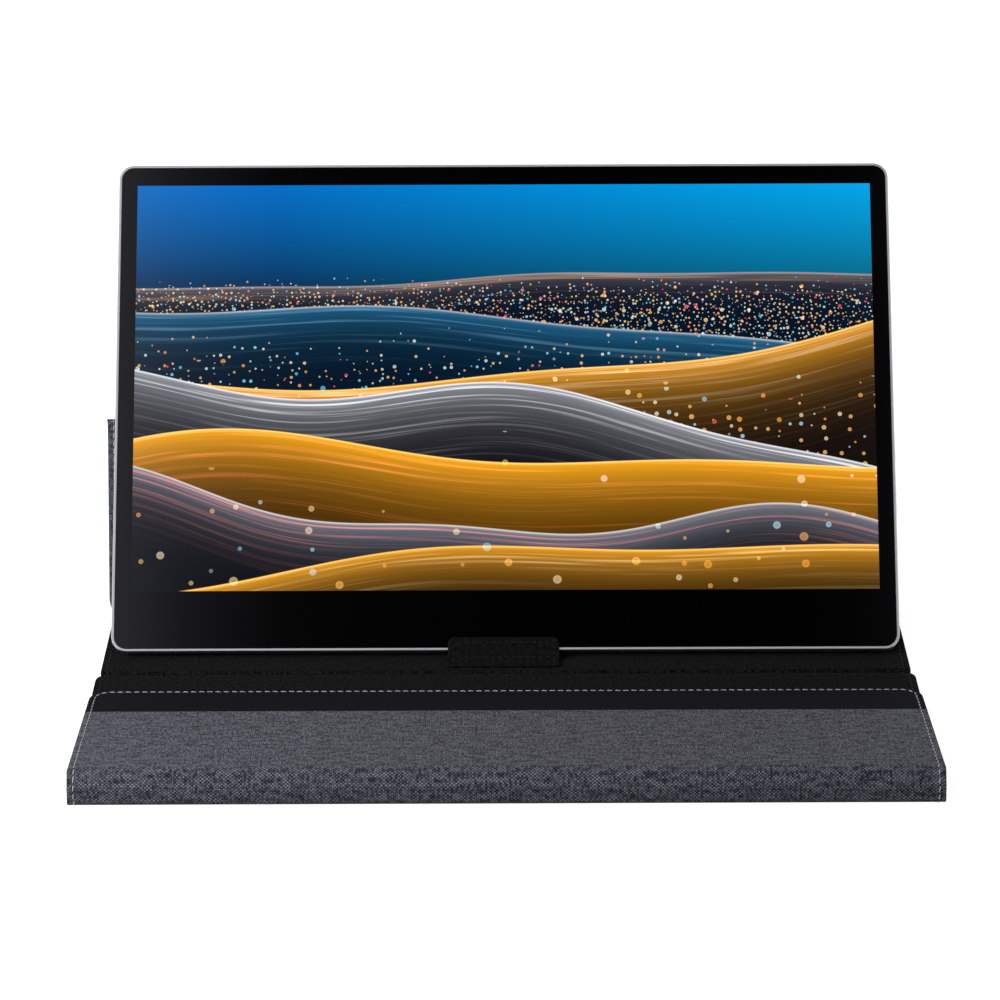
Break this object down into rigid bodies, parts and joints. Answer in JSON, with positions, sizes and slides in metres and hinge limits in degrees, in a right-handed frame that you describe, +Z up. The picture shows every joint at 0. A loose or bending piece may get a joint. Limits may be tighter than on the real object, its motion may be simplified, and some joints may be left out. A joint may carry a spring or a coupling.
{
  "type": "portable monitor with cover",
  "caption": "Slim portable monitor with an edge-to-edge glass front, standing on a hinged fabric folio cover folded into a tent stand.",
  "frame": {"origin": "on the table, on the centre line of the rear cover panel, below the edge that the monitor stands on", "axes": "+X runs across the screen to the viewer's right, -Y faces the viewer, +Z is up"},
  "size_m": [0.372, 0.2766, 0.1991],
  "materials": {
    "aluminium": "bead-blasted, clear anodised",
    "black_glass": "polished cover glass with a black border",
    "frame_plastic": "moulded",
    "tape": "adhesive foam",
    "cell": "laminated",
    "film": "diffusing",
    "tray_metal": "pressed sheet",
    "circuit_board": "solder mask",
    "led": "white packages",
    "flex": "polyimide film",
    "speaker": "moulded",
    "lead": "insulated wire",
    "port_steel": "plated shell",
    "jack": "moulded",
    "button": "anodised",
    "screw_steel": "zinc plated",
    "magnet": "nickel plated",
    "canvas": "heather woven canvas",
    "strip": "smooth coated leather",
    "greyboard": "pressed board",
    "lining": "brushed suede",
    "tab_leather": "stitched leather"
  },
  "bodies": {
    "base": {"base_canvas": "canvas", "base_board": "greyboard", "base_lining": "lining", "base_magnets": "magnet", "tab_foot": "tab_leather"},
    "under": {"under_canvas": "canvas", "under_board": "greyboard", "under_lining": "lining"},
    "spine": {"spine_canvas": "canvas", "spine_board": "greyboard", "spine_lining": "lining"},
    "flap": {"flap_canvas": "canvas", "flap_strip": "strip", "flap_board": "greyboard", "flap_lining": "lining", "flap_magnets": "magnet"},
    "tent_rear": {"tent_rear_canvas": "canvas", "tent_rear_board": "greyboard", "tent_rear_lining": "lining"},
    "tent_front": {"tent_front_canvas": "canvas", "tent_front_board": "greyboard", "tent_front_lining": "lining", "foot_magnets": "magnet"},
    "tab": {"tab_upright": "tab_leather"},
    "monitor": {"rear_shell": "aluminium", "mid_frame": "frame_plastic", "cover_glass": "black_glass", "glass_tape": "tape", "lcd_cell": "cell", "optical_films": "film", "light_guide": "film", "reflector": "film", "led_bar": "led", "lcd_tray": "tray_metal", "driver_board": "circuit_board", "main_board": "circuit_board", "button_board": "circuit_board", "display_cable": "flex", "speakers": "speaker", "speaker_leads": "lead", "usb_c_ports": "port_steel", "mini_hdmi_port": "port_steel", "audio_jack": "jack", "frame_screws": "screw_steel", "board_screws": "screw_steel", "back_magnets": "magnet"},
    "power_button": {"power_button": "button"},
    "menu_rocker": {"menu_rocker": "button"}
  },
  "joints": [
    {"name": "front_cover_fold", "type": "hinge", "parent": "base", "child": "under", "pos_m": [0, -0.0213, 0.00025], "axis": [-1, 0, 0], "range_deg": [0, 108]},
    {"name": "spine_fold", "type": "hinge", "parent": "under", "child": "spine", "pos_m": [0, -0.1471, 0.00025], "axis": [1, 0, 0], "range_deg": [0, 108]},
    {"name": "flap_fold", "type": "hinge", "parent": "spine", "child": "flap", "pos_m": [0, -0.14228, 0.01509], "axis": [1, 0, 0], "range_deg": [0, 77.39]},
    {"name": "tent_rear_fold", "type": "hinge", "parent": "base", "child": "tent_rear", "pos_m": [0, 0.1087, 0.00025], "axis": [-1, 0, 0], "range_deg": [0, 115]},
    {"name": "tent_front_fold", "type": "hinge", "parent": "tent_rear", "child": "tent_front", "pos_m": [0, 0.06338, 0.0945], "axis": [-1, 0, 0], "range_deg": [0, 14]},
    {"name": "tab_fold", "type": "hinge", "parent": "base", "child": "tab", "pos_m": [-0.0009, -0.01103, 0.0044], "axis": [-1, 0, 0], "range_deg": [-100, 0]},
    {"name": "monitor_lift", "type": "slide", "parent": "base", "child": "monitor", "axis": [0, 0.5592, 0.829], "range_m": [0, 0.1]},
    {"name": "power_button_press", "type": "slide", "parent": "monitor", "child": "power_button", "axis": [-1, 0, 0], "range_m": [0, 0.0004], "stiffness_N_per_m": 2000},
    {"name": "menu_rocker_tilt", "type": "hinge", "parent": "monitor", "child": "menu_rocker", "pos_m": [0.1782, 0.0367, 0.06237], "axis": [0, -0.829, 0.5592], "range_deg": [-2, 2], "stiffness_Nm_per_rad": 0.07}
  ]
}
